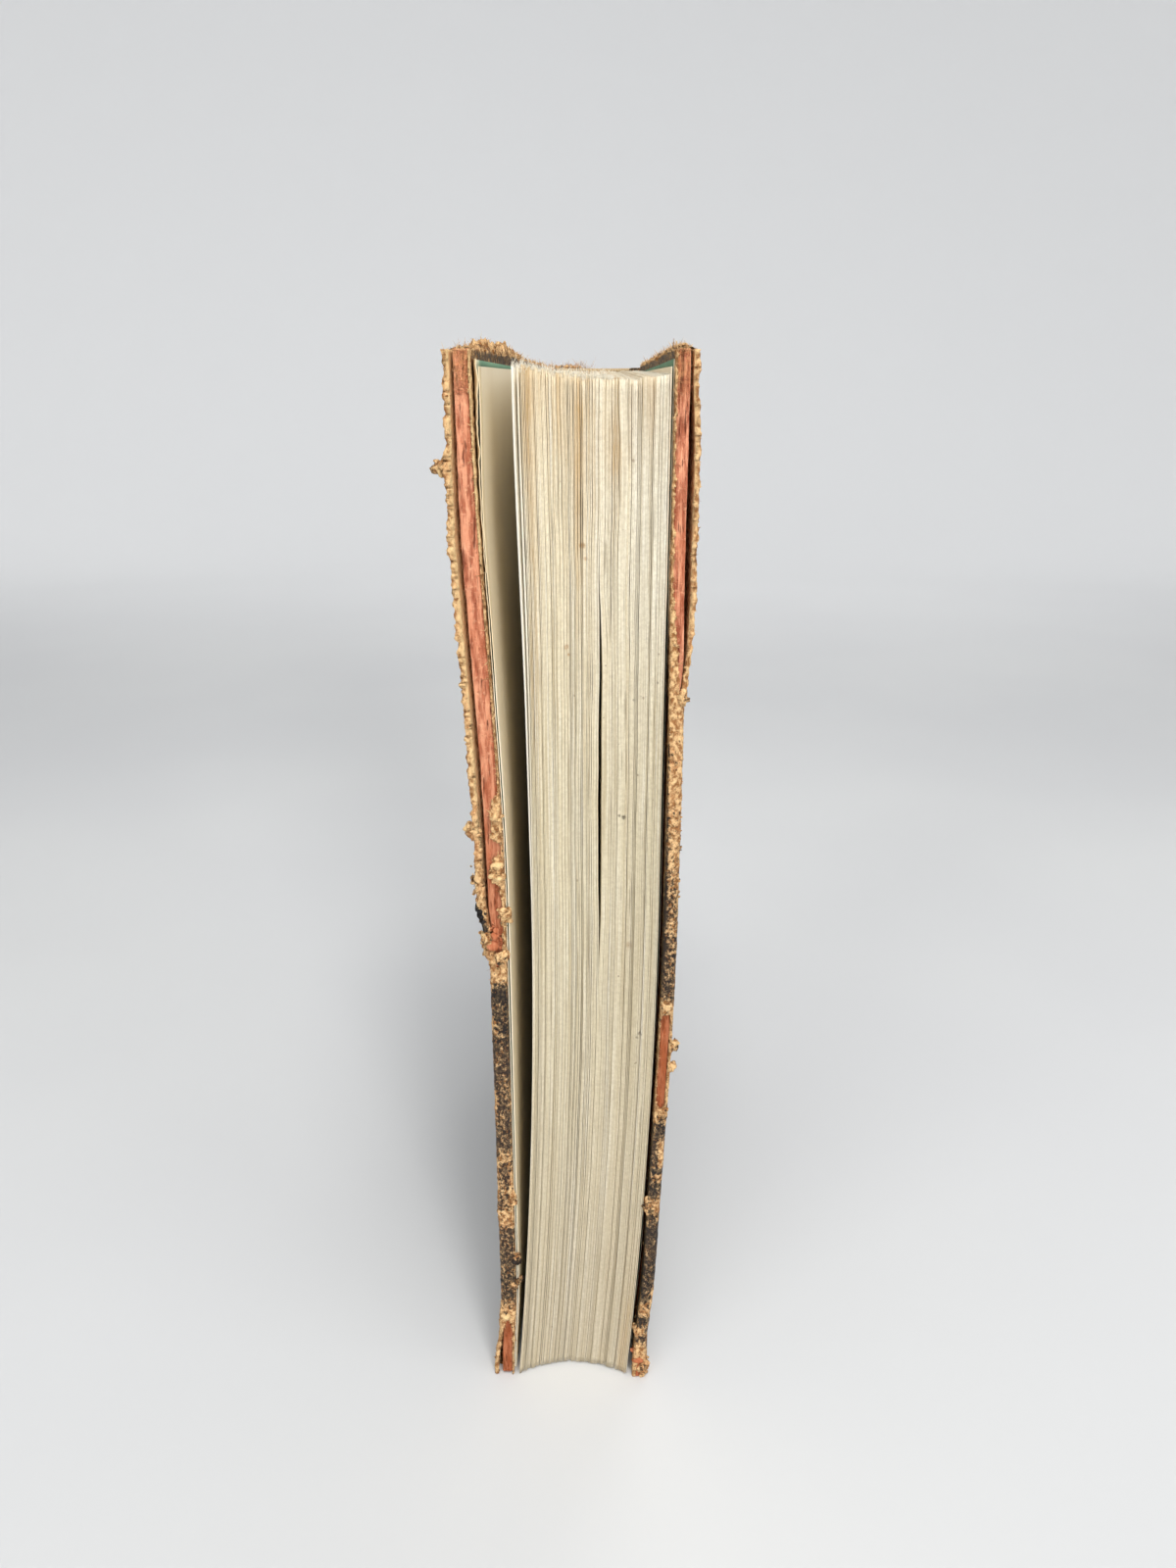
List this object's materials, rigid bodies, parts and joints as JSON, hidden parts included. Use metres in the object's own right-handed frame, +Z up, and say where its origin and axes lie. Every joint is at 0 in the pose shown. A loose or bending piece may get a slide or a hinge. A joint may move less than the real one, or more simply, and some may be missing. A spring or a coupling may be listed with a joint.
{
  "type": "book",
  "caption": "Worn leather-bound book standing on its tail, with a hollow fore-edge, red pasteboard covers hinged at the rounded spine, and coloured endpapers.",
  "frame": {"origin": "below the middle of the book, on the surface that it stands on", "axes": "+Z up towards the head, -Y towards the fore-edge, +Y towards the spine, -X towards the front cover"},
  "size_m": [0.0376, 0.1343, 0.2],
  "materials": {
    "pages": "aged cream page edges",
    "linen": "unbleached linen",
    "lining": "brown lining paper with old glue",
    "leather": "dark worn leather, rubbed to tan at the edges",
    "thread": "faded thread over a core",
    "board": "terracotta-red layered pasteboard",
    "endpaper": "matt green on one side, cream white on the other"
  },
  "bodies": {
    "book_block": {"text_block": "pages", "sewing_tapes": "linen", "spine_lining": "lining", "spine_leather": "leather", "head_band": "thread", "tail_band": "thread"},
    "front_cover": {"front_board": "board", "front_leather": "leather", "front_endpaper": "endpaper"},
    "rear_cover": {"rear_board": "board", "rear_leather": "leather", "rear_endpaper": "endpaper"}
  },
  "joints": [
    {"name": "front_cover_hinge", "type": "hinge", "parent": "book_block", "child": "front_cover", "pos_m": [-0.01239, 0.06, 0.1], "axis": [0, 0, -1], "range_deg": [0, 178]},
    {"name": "rear_cover_hinge", "type": "hinge", "parent": "book_block", "child": "rear_cover", "pos_m": [0.01825, 0.06, 0.1], "axis": [0, 0, 1], "range_deg": [0, 180]}
  ]
}
